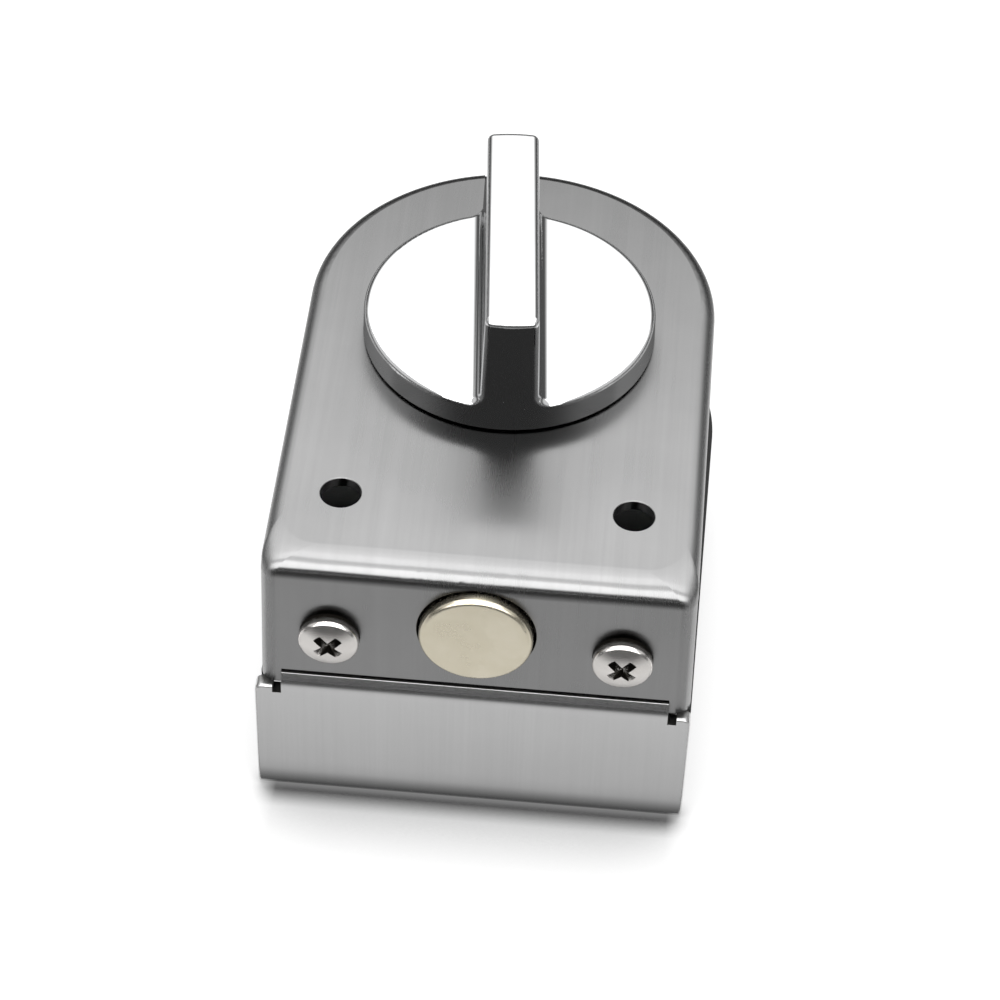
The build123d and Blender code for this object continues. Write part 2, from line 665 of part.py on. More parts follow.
def spindle_bush():
    """Flanged bush that bears the spindle and holds the case down on the body."""
    bush = post(0, 0, BUSH_D / 2, Z_ROOF, Z_FACE)
    bush += post(0, 0, BUSH_FLANGE_D / 2, Z_FACE, Z_FLANGE_TOP)
    bush -= post(0, 0, SPINDLE_D / 2 + SPINDLE_RUN, Z_ROOF - CASE_T, Z_FLANGE_TOP + CASE_T)
    return chamfer(bush.edges().sort_by(Axis.Z)[0], BUSH_PRESS * 10)


def turn_washer():
    """Nylon washer between the bush's flange and the turn."""
    z0 = Z_FLANGE_TOP + WASHER_CLEAR
    ring = post(0, 0, WASHER_D / 2, z0, z0 + WASHER_T)
    return ring - post(0, 0, SPINDLE_D / 2 + 2 * SPINDLE_RUN, z0, z0 + WASHER_T)


def disc_spring():
    """Conical spring washer between the body's roof and the crank."""
    inner = SPINDLE_D / 2 + WASHER_T
    outer = SPRING_D / 2
    low = Z_CRANK_TOP + SPRING_PLAY
    high = Z_ROOF - SPRING_PLAY
    section = make_face(
        Polyline(
            (inner, low),
            (outer, high - SPRING_T),
            (outer, high),
            (inner, low + SPRING_T),
            close=True,
        )
    )
    return revolve(Plane.XZ * section, Axis.Z)


def crank_clip():
    """Retaining clip in the spindle's groove."""
    bore = CLIP_GROOVE_D / 2 + CLIP_CLEAR
    clip = post(0, 0, CLIP_D / 2, Z_CLIP, Z_CLIP + CLIP_T)
    clip -= post(0, 0, bore, Z_CLIP, Z_CLIP + CLIP_T)
    half = CLIP_MOUTH / 2
    clip -= box(0, CLIP_D, -half, half, Z_CLIP, Z_CLIP + CLIP_T)
    for angle in (-125, 125):
        lobe = Rot(0, 0, angle) * post(bore, 0, CLIP_T, Z_CLIP, Z_CLIP + CLIP_T)
        clip -= lobe
    return Rot(0, 0, REST_TURN) * clip


# Crank and bolt


def drive_crank():
    """Arm from the spindle's square to the crank pin."""
    hub = Circle(CRANK_HUB_D / 2).edge()
    boss = (Pos(PIN_X, PIN_Y) * Circle(CRANK_BOSS_D / 2)).edge()
    arm = extrude(make_hull([hub, boss]), CRANK_T)
    arm = Pos(0, 0, Z_CRANK) * arm
    half = SPINDLE_SQUARE / 2 + SQUARE_CLEAR
    square = box(-half, half, -half, half, Z_CRANK - CASE_T, Z_CRANK_TOP + CASE_T)
    arm -= Rot(0, 0, REST_TURN) * square
    return arm - post(PIN_X, PIN_Y, CRANK_PIN_D / 2, Z_CRANK - CASE_T, Z_CRANK_TOP + CASE_T)


def crank_pin():
    """Pin riveted in the crank, reaching through the yoke's slot."""
    z_end = Z_YOKE - PIN_BELOW_YOKE
    pin = post(PIN_X, PIN_Y, CRANK_PIN_D / 2, z_end, Z_CRANK_TOP)
    return chamfer(pin.edges().sort_by(Axis.Z)[0], CRANK_PIN_D / 10)


def yoke_screw_places():
    """The yoke screws' distances along Y."""
    first = Y_TAIL - YOKE_SCREW_FROM_TAIL
    return [first, first - YOKE_SCREW_PITCH]


def bolt():
    """Round bolt with a rounded nose, and a flat below its tail for the yoke."""
    radius = BOLT_D / 2
    body = rod(0, Z_BOLT, radius, Y_NOSE, Y_TAIL)
    body = fillet(body.edges().sort_by(Axis.Y)[0], BOLT_EDGE_R)
    body = chamfer(body.edges().sort_by(Axis.Y)[-1], BOLT_EDGE_R)
    low = Z_BOLT - BOLT_D
    body -= box(-BOLT_D, BOLT_D, Y_TAIL - YOKE_FLAT_LEN, Y_TAIL + CASE_T, low, Z_FLAT)
    for y in yoke_screw_places():
        z_tip = Z_YOKE + YOKE_SCREW_LEN + SCREW_CLEAR
        body -= post(0, y, YOKE_SCREW_D / 2, Z_FLAT - CASE_T, z_tip)
    return body


def bolt_yoke():
    """Plate under the bolt's flat, with a cross slot for the crank pin."""
    neck = YOKE_NECK_W / 2
    y_neck = Y_TAIL - YOKE_FLAT_LEN + YOKE_NECK_SHORT
    y_wide = Y_TAIL + YOKE_CORNER_R
    y_far = SLOT_Y + YOKE_REACH
    x_out = PIN_R + YOKE_REACH
    plate = box(-neck, neck, y_neck, y_far, Z_YOKE, Z_YOKE_TOP)
    plate += box(-x_out, neck + YOKE_LIP, y_wide, y_far, Z_YOKE, Z_YOKE_TOP)
    plate = fillet(plate.edges().filter_by(Axis.Z), YOKE_CORNER_R)
    low = Z_YOKE - CASE_T
    high = Z_YOKE_TOP + CASE_T
    slot = post(-SLOT_NEAR_X, SLOT_Y, SLOT_R, low, high)
    slot += post(-PIN_R, SLOT_Y, SLOT_R, low, high)
    slot += box(-PIN_R, -SLOT_NEAR_X, SLOT_Y - SLOT_R, SLOT_Y + SLOT_R, low, high)
    plate -= slot
    for y in yoke_screw_places():
        plate -= countersink(0, y, Z_YOKE, YOKE_SCREW_D, YOKE_HEAD_D)
    return plate


def yoke_screws():
    """Both countersunk screws of the yoke."""
    screw = flat_head_screw(YOKE_SCREW_D, YOKE_SCREW_LEN, YOKE_HEAD_D)
    return joined([Pos(0, y, Z_YOKE) * screw for y in yoke_screw_places()])


# Clamp


def pressure_plate():
    """Steel plate inside the case, dimpled for the set screws and pierced for the dowels."""
    y_start = Y_TONGUE_IN + PRESS_TO_TONGUE
    plate = slab(PRESS_W, y_start, Z_PAD_TOP, Z_PRESS_TOP)
    dimple_r = SET_D / 2 + DIMPLE_ROOM
    z_dimple = Z_PRESS_TOP - PRESS_DIMPLE
    plate -= mirrored(post(ACCESS_X, Y_SET, dimple_r, z_dimple, Z_PRESS_TOP + CASE_T))
    return plate - mirrored(post(GUIDE_X, Y_GUIDE, GUIDE_D / 2, Z_RIM - PAD_T, Z_FACE))


def guide_pins():
    """Both dowels of the pressure plate."""
    pin = post(GUIDE_X, Y_GUIDE, GUIDE_D / 2, Z_PAD_TOP, Z_PAD_TOP + GUIDE_H)
    pin = chamfer(pin.edges().sort_by(Axis.Z)[-1], GUIDE_D / 8)
    return joined([pin, mirror(pin, Plane.YZ)])


def front_pad():
    """Rubber pad under the case's rim, with an ear on each side of the tongue."""
    y_start = Y_TONGUE_IN + PRESS_TO_TONGUE
    pad = slab(FRONT_PAD_W, y_start, Z_GLASS_FRONT, Z_PAD_TOP)
    x_in = X_TAB + PAD_EAR_CLEAR
    y_ear = Y_FLANGE_IN + PAD_EAR_GAP
    pad += mirrored(box(x_in, FRONT_PAD_W / 2, y_ear, y_start, Z_GLASS_FRONT, Z_PAD_TOP))
    near_end = Pos(0, Y_FLANGE_IN, 0)
    return near_end * Rot(0, 0, FRONT_PAD_SKEW) * Pos(0, -Y_FLANGE_IN, 0) * pad


def back_pad():
    """Rubber pad on the back plate."""
    return slab(BACK_PAD_W, Y_FLANGE_IN + BACK_PAD_INSET, PLATE_T, Z_GLASS_BACK)


PARTS = {
    "front_case": front_case,
    "back_plate": back_plate,
    "lock_body": lock_body,
    "body_cover": body_cover,
    "cover_screws": cover_screws,
    "end_screws": end_screws,
    "thumb_turn": thumb_turn,
    "turn_spindle": turn_spindle,
    "turn_washer": turn_washer,
    "spindle_bush": spindle_bush,
    "disc_spring": disc_spring,
    "drive_crank": drive_crank,
    "crank_pin": crank_pin,
    "crank_clip": crank_clip,
    "bolt": bolt,
    "bolt_yoke": bolt_yoke,
    "yoke_screws": yoke_screws,
    "clamp_screws": clamp_screws,
    "pressure_plate": pressure_plate,
    "guide_pins": guide_pins,
    "front_pad": front_pad,
    "back_pad": back_pad,
}

os.makedirs("parts", exist_ok=True)
for node, make in PARTS.items():
    shape = make()
    export_step(shape, f"parts/{node}.step")
    print(node, "solids", len(shape.solids()), "volume", round(shape.volume, 1))
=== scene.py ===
# %% [markdown]
# # Glass door floor bolt, from CAD solids to a finished picture
# A floor bolt for a frameless glass door: a pressed stainless case clamps on the glass,
# and a chrome thumb turn throws a nickel bolt out of its lower end. The shapes come from
# a CAD model that is already exact, so this lesson is about looks: a camera that repeats
# the photograph's view, a small photo studio, and a worked material for every finish.

# %% Load the fixed frame
import math

import bpy
from mathutils import Matrix, Vector

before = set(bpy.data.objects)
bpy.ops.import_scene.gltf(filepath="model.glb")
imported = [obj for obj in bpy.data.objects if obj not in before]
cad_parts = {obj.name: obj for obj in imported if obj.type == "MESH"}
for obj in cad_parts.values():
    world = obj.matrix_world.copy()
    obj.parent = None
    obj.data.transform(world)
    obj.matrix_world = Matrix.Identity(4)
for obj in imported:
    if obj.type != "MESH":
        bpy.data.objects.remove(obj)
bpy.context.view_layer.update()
MM = 0.001

# %% [markdown]
# ## The camera
# The photograph was taken from in front and above, close enough for strong perspective.
# One way to match it is to drag the camera until the outlines meet. Here the view was
# worked out from the corners of the case instead, so it is written as plain values:
# a direction (azimuth and elevation), a small roll, a distance and a focal length.

# %% Aim the camera
AZIMUTH_DEG = 3.509
ELEVATION_DEG = 45.538
ROLL_DEG = 2.07
DISTANCE = 318.749 * MM
AIM_POINT = Vector((1.009, -21.566, 30.0)) * MM
SENSOR_MM = 36.0
FOCAL_PIXELS = 3151.9
PICTURE_PIXELS = 1000
CLIP_NEAR = 1 * MM
CLIP_FAR = 10.0


def camera_axes(azimuth, elevation, roll):
    """Right, up and back directions of a camera that looks at the object."""
    back = Vector((
        math.sin(azimuth) * math.cos(elevation),
        -math.cos(azimuth) * math.cos(elevation),
        math.sin(elevation),
    ))
    level = Vector((math.cos(azimuth), math.sin(azimuth), 0))
    over = back.cross(level)
    right = level * math.cos(roll) + over * math.sin(roll)
    up = over * math.cos(roll) - level * math.sin(roll)
    return right, up, back


right, up, back = camera_axes(*map(math.radians, (AZIMUTH_DEG, ELEVATION_DEG, ROLL_DEG)))
camera_data = bpy.data.cameras.new("camera")
camera_data.sensor_width = SENSOR_MM
camera_data.lens = FOCAL_PIXELS / PICTURE_PIXELS * SENSOR_MM
camera_data.clip_start = CLIP_NEAR
camera_data.clip_end = CLIP_FAR
camera = bpy.data.objects.new("camera", camera_data)
camera_spot = AIM_POINT + back * DISTANCE
camera.matrix_world = Matrix((
    (right.x, up.x, back.x, camera_spot.x),
    (right.y, up.y, back.y, camera_spot.y),
    (right.z, up.z, back.z, camera_spot.z),
    (0, 0, 0, 1),
))
bpy.context.scene.collection.objects.link(camera)
bpy.context.scene.camera = camera
bpy.context.scene.view_settings.view_transform = "Standard"
print("camera at", [round(v, 4) for v in camera_spot])
print("lens", round(camera_data.lens, 2), "mm")

# %% [markdown]
# ## Small helpers for node trees
# Every material below is a graph of nodes. Adding a node, setting its inputs and joining
# two sockets are the only three moves, so they get a helper each. An input is given by
# its name, and its value is either a plain number or the output of another node.

# %% Node helpers


def add_node(tree, kind, settings=None, **inputs):
    """Adds a node, sets its properties, and sets or links its inputs by name."""
    node = tree.nodes.new(kind)
    for name, value in (settings or {}).items():
        setattr(node, name, value)
    for name, value in inputs.items():
        feed(tree, node.inputs[name.replace("_", " ")], value)
    return node


def feed(tree, socket, value):
    """Links another node's output to a socket, or writes a plain value in it."""
    if isinstance(value, bpy.types.NodeSocket):
        tree.links.new(value, socket)
    else:
        socket.default_value = value


def add_math(tree, operation, first, second=0.0):
    """A Math node's result."""
    node = add_node(tree, "ShaderNodeMath", {"operation": operation})
    feed(tree, node.inputs[0], first)
    feed(tree, node.inputs[1], second)
    return node.outputs["Value"]


def add_range(tree, value, from_low, from_high, to_low, to_high):
    """A value that is stretched from one range to another, and held inside it."""
    node = add_node(tree, "ShaderNodeMapRange")
    for name, number in (
        ("Value", value), ("From Min", from_low), ("From Max", from_high),
        ("To Min", to_low), ("To Max", to_high),
    ):
        feed(tree, node.inputs[name], number)
    return node.outputs["Result"]


def add_mix(tree, kind, mask, first, second):
    """A value between two others, by a mask. A Mix node has hidden sockets for each kind."""
    node = add_node(tree, "ShaderNodeMix", {"data_type": kind})
    shown = [socket for socket in node.inputs if socket.enabled]
    for socket, value in zip(shown, (mask, first, second)):
        feed(tree, socket, value)
    return next(socket for socket in node.outputs if socket.enabled)


def add_tint(tree, mask, first, second):
    """A colour between two others, by a mask."""
    return add_mix(tree, "RGBA", mask, first, second)


def add_blend(tree, mask, first, second):
    """A number between two others, by a mask."""
    return add_mix(tree, "FLOAT", mask, first, second)


def grey(level):
    """A neutral colour."""
    return (level, level, level, 1.0)


print("helpers:", [helper.__name__ for helper in (add_node, add_math, add_range, add_mix)])

# %% [markdown]
# ## The floor
# The object stands on a white table whose far side is never seen. A real white sweep
# works, but needs much light. Here the floor is a pale matt sheet that adds a little
# white of its own for the camera and for mirror-like surfaces.

# %% Write the floor's helpers


def flat_mesh(name, corners):
    """A single four-sided sheet from its corners."""
    mesh = bpy.data.meshes.new(name)
    mesh.from_pydata(corners, [], [(0, 1, 2, 3)])
    sheet = bpy.data.objects.new(name, mesh)
    bpy.context.scene.collection.objects.link(sheet)
    return sheet


def new_material(name):
    """An empty node material and its output node."""
    material = bpy.data.materials.new(name)
    material.use_nodes = True
    material.node_tree.nodes.clear()
    output = add_node(material.node_tree, "ShaderNodeOutputMaterial")
    return material, material.node_tree, output


def seen_mask(tree):
    """1 for camera rays, and for the rays that mirrors and glass send out."""
    path = add_node(tree, "ShaderNodeLightPath").outputs
    mirror = add_math(tree, "MAXIMUM", path["Is Camera Ray"], path["Is Glossy Ray"])
    return add_math(tree, "MAXIMUM", mirror, path["Is Transmission Ray"])


print("floor helpers:", flat_mesh.__name__, new_material.__name__, seen_mask.__name__)

# %% [markdown]
# ### The contact shadow
# A photographer's table still darkens where the object stands on it. A lamp behind the
# object would draw that shadow, but every metal face would mirror the lamp too, so ambient
# occlusion draws it here. It has two parts: a wide soft one as far as light is kept off
# the table, and a narrow one in the last gap. The photograph is lit from behind, so the
# shadow lies in front and hardly shows at the sides.

# %% Measure the contact shadow
SHADE_WIDE = 12 * MM
SHADE_NARROW = 3.0 * MM
SHADE_NARROW_PULL = 2.3  # how fast the last gap darkens
SHADE_SAMPLES = 8
SHADE_FRONT = (-34.0 * MM, -37.0 * MM)  # Y where the shadow sets in, and where it is full
SHADE_ENDS = (23.5 * MM, 20.5 * MM)  # the same in X, from outside to inside
SHADE_SIDE_SHARE = 0.12  # what is left of the shadow everywhere else


def open_share(tree, reach):
    """How much of the space within reach is free, from 0.5 beside a wall to 1."""
    node = add_node(
        tree, "ShaderNodeAmbientOcclusion", {"samples": SHADE_SAMPLES}, Distance=reach
    )
    return node.outputs["AO"]


def contact_shade(tree):
    """The shadow where the object meets the table, as a factor from 0 to 1."""
    gap = add_math(tree, "SUBTRACT", 1.0, open_share(tree, SHADE_NARROW))
    pull = add_math(tree, "MULTIPLY", gap, SHADE_NARROW_PULL)
    narrow = add_math(tree, "MAXIMUM", add_math(tree, "SUBTRACT", 1.0, pull), 0.0)
    shade = add_math(tree, "MULTIPLY", open_share(tree, SHADE_WIDE), narrow)
    place = add_node(tree, "ShaderNodeNewGeometry")
    spot = add_node(tree, "ShaderNodeSeparateXYZ", Vector=place.outputs["Position"])
    in_front = add_range(tree, spot.outputs["Y"], *SHADE_FRONT, 0.0, 1.0)
    aside = add_math(tree, "ABSOLUTE", spot.outputs["X"])
    between = add_range(tree, aside, *SHADE_ENDS, 0.0, 1.0)
    both = add_math(tree, "MULTIPLY", in_front, between)
    strength = add_range(tree, both, 0.0, 1.0, SHADE_SIDE_SHARE, 1.0)
    return add_blend(tree, strength, 1.0, shade)


print("shadow reaches", SHADE_WIDE, "m and, in the last gap,", SHADE_NARROW, "m")

# %% [markdown]
# ### The paper
# White paper in a photograph is close to pure white, and a lamp strong enough for that
# would burn out the metal. So the sheet is lit as paper is, and glows a little more where
# the camera or a mirror sees it. The shadow takes from both. Nothing has to be lit by the
# glow, so Cycles is told not to sample it as a lamp.

# %% Lay the floor
FLOOR_HALF = 2.0
FLOOR_ALBEDO = 0.6
FLOOR_GLOW = 0.66


def floor_material():
    """Pale matt paper with a little white added where it is seen."""
    material, tree, output = new_material("floor_paper")
    shade = contact_shade(tree)
    pale = add_tint(tree, shade, grey(0.0), grey(FLOOR_ALBEDO))
    paper = add_node(tree, "ShaderNodeBsdfDiffuse", Color=pale)
    glow = add_node(tree, "ShaderNodeEmission", Color=grey(1.0))
    lit = add_math(tree, "MULTIPLY", seen_mask(tree), FLOOR_GLOW)
    feed(tree, glow.inputs["Strength"], add_math(tree, "MULTIPLY", lit, shade))
    both = add_node(tree, "ShaderNodeAddShader")
    tree.links.new(paper.outputs[0], both.inputs[0])
    tree.links.new(glow.outputs[0], both.inputs[1])
    tree.links.new(both.outputs[0], output.inputs["Surface"])
    material.cycles.emission_sampling = "NONE"
    return material


floor = flat_mesh("floor", [
    (-FLOOR_HALF, -FLOOR_HALF, 0), (FLOOR_HALF, -FLOOR_HALF, 0),
    (FLOOR_HALF, FLOOR_HALF, 0), (-FLOOR_HALF, FLOOR_HALF, 0),
])
floor.data.materials.append(floor_material())
print("floor", 2 * FLOOR_HALF, "m square")

# %% [markdown]
# ## The light
# The lamp overhead lights what is matt and adds a faint soft shadow. Metal is another
# matter: it shows the room more than its own colour, so the room is built separately,
# below, from things that only reflections can see.

# %% Set the pale room and the lamp
ROOM_WHITE = 1.0  # what the camera sees
ROOM_SIDE = 0.6  # what metal mirrors
ROOM_LIGHT = 0.5  # what reaches matt surfaces
LAMP_HEIGHT = 0.7
LAMP_SIZE = 0.9
LAMP_RADIANCE = 1.1
AREA_TO_RADIANCE = 4.0

world = bpy.data.worlds.new("pale_room")
world.use_nodes = True
world_tree = world.node_tree
sky = world_tree.nodes["Background"]
sky.inputs["Color"].default_value = grey(1.0)
world_path = add_node(world_tree, "ShaderNodeLightPath")
matt_or_metal = add_range(
    world_tree, world_path.outputs["Is Glossy Ray"], 0.0, 1.0, ROOM_LIGHT, ROOM_SIDE
)
feed(
    world_tree, sky.inputs["Strength"],
    add_blend(world_tree, world_path.outputs["Is Camera Ray"], matt_or_metal, ROOM_WHITE),
)
world.cycles.sampling_method = "NONE"
bpy.context.scene.world = world

lamp_data = bpy.data.lights.new("overhead_lamp", "AREA")
lamp_data.size = LAMP_SIZE
lamp_data.energy = LAMP_RADIANCE * AREA_TO_RADIANCE * LAMP_SIZE ** 2
lamp = bpy.data.objects.new("overhead_lamp", lamp_data)
lamp.location = (0, 0, LAMP_HEIGHT)
lamp.visible_camera = False
lamp.visible_glossy = False
bpy.context.scene.collection.objects.link(lamp)
print("lamp", round(lamp_data.energy, 2), "W")
print("room", ROOM_SIDE, "in metal,", ROOM_LIGHT, "as light")

# %% [markdown]
# ### Cards that only mirrors see
# A studio hangs white and black cards round a metal object, outside the picture. Lamps
# could play them, but each would light the floor as well. These are plain meshes that
# glow by a number stored at their points, so one of them can hold a whole row of greys,
# and only mirrored rays meet them.
#
# Light that comes off one metal face and then off another would fill the corner before
# the blade. In the photograph that corner is black, because the camera and the
# photographer stand there. So a card also stores how much it loses on a second look.

# %% Write the card helpers
ROOM_DARK = 0.08
SECOND_LOOK_DEPTH = 1.5  # a ray's depth is 1 on its first look at the room and 2 on the next


def make_glow_paint():
    """Paint that glows by the level attribute, less its loss on a second look."""
    material, tree, output = new_material("glow_paint")
    level = add_node(tree, "ShaderNodeAttribute", {"attribute_name": "level"})
    loss = add_node(tree, "ShaderNodeAttribute", {"attribute_name": "loss"})
    path = add_node(tree, "ShaderNodeLightPath")
    second_look = add_math(
        tree, "GREATER_THAN", path.outputs["Ray Depth"], SECOND_LOOK_DEPTH
    )
    lost = add_math(tree, "MULTIPLY", second_look, loss.outputs["Fac"])
    strength = add_blend(tree, lost, level.outputs["Fac"], ROOM_DARK)
    glow = add_node(tree, "ShaderNodeEmission", Color=grey(1.0), Strength=strength)
    tree.links.new(glow.outputs[0], output.inputs["Surface"])
    material.cycles.emission_sampling = "NONE"
    return material


def only_in_reflections(card):
    """Shows a card in mirrors alone, with no shadow and no part in the picture."""
    card.visible_camera = False
    card.visible_diffuse = False
    card.visible_shadow = False


def glow_sheet(name, points, faces, levels, losses=None):
    """A mesh that glows by the brightness stored at its points."""
    mesh = bpy.data.meshes.new(name)
    mesh.from_pydata(points, [], faces)
    mesh.attributes.new("level", "FLOAT", "POINT").data.foreach_set("value", levels)
    mesh.attributes.new("loss", "FLOAT", "POINT").data.foreach_set(
        "value", losses or [0.0] * len(points)
    )
    sheet = bpy.data.objects.new(name, mesh)
    bpy.context.scene.collection.objects.link(sheet)
    mesh.materials.append(glow_paint)
    only_in_reflections(sheet)
    return sheet


def strip_faces(rows):
    """Four-sided faces between rows of two points each."""
    return [(2 * i, 2 * i + 1, 2 * i + 3, 2 * i + 2) for i in range(rows - 1)]


glow_paint = make_glow_paint()
print("paint for the cards:", glow_paint.name)

# %% [markdown]
# ### A light tunnel
# The bend at the case's lower end works like a row of tiny mirrors that look from the
# table up to the ceiling and on to the back. Read from below, it shows a dark room up to
# the horizon, a bright panel, a greyer gap, a second bright panel overhead, and a pale
# ceiling that dims towards the back wall. One arch over the object, bent round the X
# axis, holds this whole row of greys: each elevation has its own brightness. On a second
# look the arch is almost black in front. Behind, it is dimmed only, and turns the fillets
# beside the blade grey as they are in the photograph.

# %% Bend the tunnel over the object
STUDIO_CENTRE = Vector((0, -30, 30)) * MM
TUNNEL_RADIUS = 0.5
TUNNEL_HALF_LENGTH = 0.45
TUNNEL_STEP_DEG = 2
FRONT_END_DEG = 100
FRONT_LOSS = 1.0
BACK_LOSS = 0.75
TUNNEL_GREYS = (  # elevation in degrees, brightness
    (2, ROOM_DARK), (8, ROOM_DARK), (14, 3.2), (38, 3.4), (44, 1.9), (56, 1.7),
    (64, 2.8), (78, 2.8), (100, 2.3), (120, 2.05), (133, 1.9), (138, 1.65),
    (144, 1.15), (152, 0.35), (160, ROOM_DARK), (176, ROOM_DARK),
)


def tunnel_grey(elevation_deg):
    """The tunnel's brightness at an elevation: 0 in front, 90 overhead, 180 behind."""
    for (low, below), (high, above) in zip(TUNNEL_GREYS, TUNNEL_GREYS[1:]):
        if elevation_deg <= high:
            share = (elevation_deg - low) / (high - low)
            smooth = share * share * (3 - 2 * share)
            return below + (above - below) * smooth
    return TUNNEL_GREYS[-1][1]


def tunnel_loss(elevation_deg):
    """What the tunnel loses on a second look: all in front, a part of it behind."""
    return FRONT_LOSS if elevation_deg < FRONT_END_DEG else BACK_LOSS


first_deg, last_deg = TUNNEL_GREYS[0][0], TUNNEL_GREYS[-1][0]
rows_deg = list(range(first_deg, last_deg + 1, TUNNEL_STEP_DEG))
tunnel_points = [
    STUDIO_CENTRE + Vector((
        side * TUNNEL_HALF_LENGTH,
        -TUNNEL_RADIUS * math.cos(math.radians(deg)),
        TUNNEL_RADIUS * math.sin(math.radians(deg)),
    ))
    for deg in rows_deg for side in (-1, 1)
]
tunnel = glow_sheet(
    "light_tunnel", tunnel_points, strip_faces(len(rows_deg)),
    [tunnel_grey(deg) for deg in rows_deg for _ in (-1, 1)],
    [tunnel_loss(deg) for deg in rows_deg for _ in (-1, 1)],
)
print("tunnel rows", len(rows_deg), "brightest", max(level for _, level in TUNNEL_GREYS))

# %% [markdown]
# ### The dark walls and the table in front
# The rest of the room is dark up to a wall's height all round. The table before the
# object is a grey card: the flange mirrors its near part and the end wall its middle, and
# both fall off to the dark room. A round card under it does the same more gently at the
# sides and behind, because a polished blade that mirrors a white floor in front of a white
# wall can't be told from either. The camera sees none of this, only the white floor.

# %% Stand the walls and lay the table card
WALL_RADIUS = 0.9
RING_PARTS = 96
WALL_TOP_DEG = 20
WALL_FADE_DEG = 12
TABLE_LIFT = 0.06 * MM
TABLE_HALF_WIDTH = 0.5
# The darker rows next to the flange paint the table's contact shadow into the flange's
# reflection.
TABLE_GREYS = (  # Y in millimetres, brightness
    (-36.9, ROOM_DARK), (-37.8, 0.3), (-38.6, 0.54), (-39.8, 0.62), (-51.0, 0.76),
    (-68.0, 0.71), (-84.0, 0.4), (-104.0, 0.14), (-140.0, ROOM_DARK), (-500.0, ROOM_DARK),
)
ROUND_LIFT = 0.02 * MM
ROUND_GREYS = (  # radius in millimetres, brightness
    (68.0, 1.1), (86.0, 0.85), (110.0, 0.5), (150.0, 0.34), (600.0, 0.2),
)


def ring_points(radius, height):
    """Points of a level circle round the turn's axis."""
    turns = [2 * math.pi * i / RING_PARTS for i in range(RING_PARTS)]
    return [(radius * math.cos(t), radius * math.sin(t), height) for t in turns]


def ring_faces(rings):
    """Four-sided faces between the rings of a round wall or card."""
    return [
        (
            RING_PARTS * ring + i, RING_PARTS * ring + (i + 1) % RING_PARTS,
            RING_PARTS * (ring + 1) + (i + 1) % RING_PARTS, RING_PARTS * (ring + 1) + i,
        )
        for ring in range(rings - 1) for i in range(RING_PARTS)
    ]


wall_heights = [
    WALL_RADIUS * math.tan(math.radians(deg))
    for deg in (0, WALL_TOP_DEG - WALL_FADE_DEG, WALL_TOP_DEG)
]
wall = glow_sheet(
    "dark_wall",
    [point for height in wall_heights for point in ring_points(WALL_RADIUS, height)],
    ring_faces(len(wall_heights)),
    [ROOM_DARK] * (2 * RING_PARTS) + [ROOM_SIDE] * RING_PARTS,
)
table_card = glow_sheet(
    "table_card",
    [(side * TABLE_HALF_WIDTH, y * MM, TABLE_LIFT) for y, _ in TABLE_GREYS for side in (-1, 1)],
    strip_faces(len(TABLE_GREYS)),
    [level for _, level in TABLE_GREYS for _ in (-1, 1)],
)
round_card = glow_sheet(
    "round_card",
    [point for radius, _ in ROUND_GREYS for point in ring_points(radius * MM, ROUND_LIFT)],
    ring_faces(len(ROUND_GREYS)),
    [level for _, level in ROUND_GREYS for _ in range(RING_PARTS)],
)
print("cards:", wall.name, table_card.name, round_card.name)

# %% [markdown]
# ## Shared effects as node groups
# Brushed steel, plated screws and rubber differ in colour, but they share a few effects:
# fine grain from brushing or turning, soft patches from handling, edges that are rounder
# and brighter than the faces, and dirt and painted shade in the recesses. Each effect is one
# node group with named inputs, so that a material only says how fine and how strong it is
# there.

# %% Start a node group
NUMBER = "NodeSocketFloat"
VECTOR = "NodeSocketVector"


def new_group(name, inputs, outputs):
    """A shader node group with named sockets. Returns its tree, input and output node."""
    tree = bpy.data.node_groups.new(name, "ShaderNodeTree")
    for socket, kind, value in inputs:
        made = tree.interface.new_socket(name=socket, in_out="INPUT", socket_type=kind)
        made.default_value = value
    for socket, kind in outputs:
        tree.interface.new_socket(name=socket, in_out="OUTPUT", socket_type=kind)
    return tree, tree.nodes.new("NodeGroupInput"), tree.nodes.new("NodeGroupOutput")


print("sockets:", NUMBER, VECTOR)

# %% [markdown]
# ### Grain
# A belt leaves long parallel scratches. A noise texture that is squeezed across the grain
# and stretched along it gives the same picture, and needs no image. Two of them are
# added, a fine one for the scratches and a coarse one for the wider streaks.

# %% Build the grain group
FINE_NOISE = {"Scale": 1.0, "Detail": 3.0, "Roughness": 0.6}
BROAD_NOISE = {"Scale": 1.0, "Detail": 2.0, "Roughness": 0.5}
GRAIN_SPREAD = (0.3, 0.7)  # the noise's middle values, which become 0 to 1


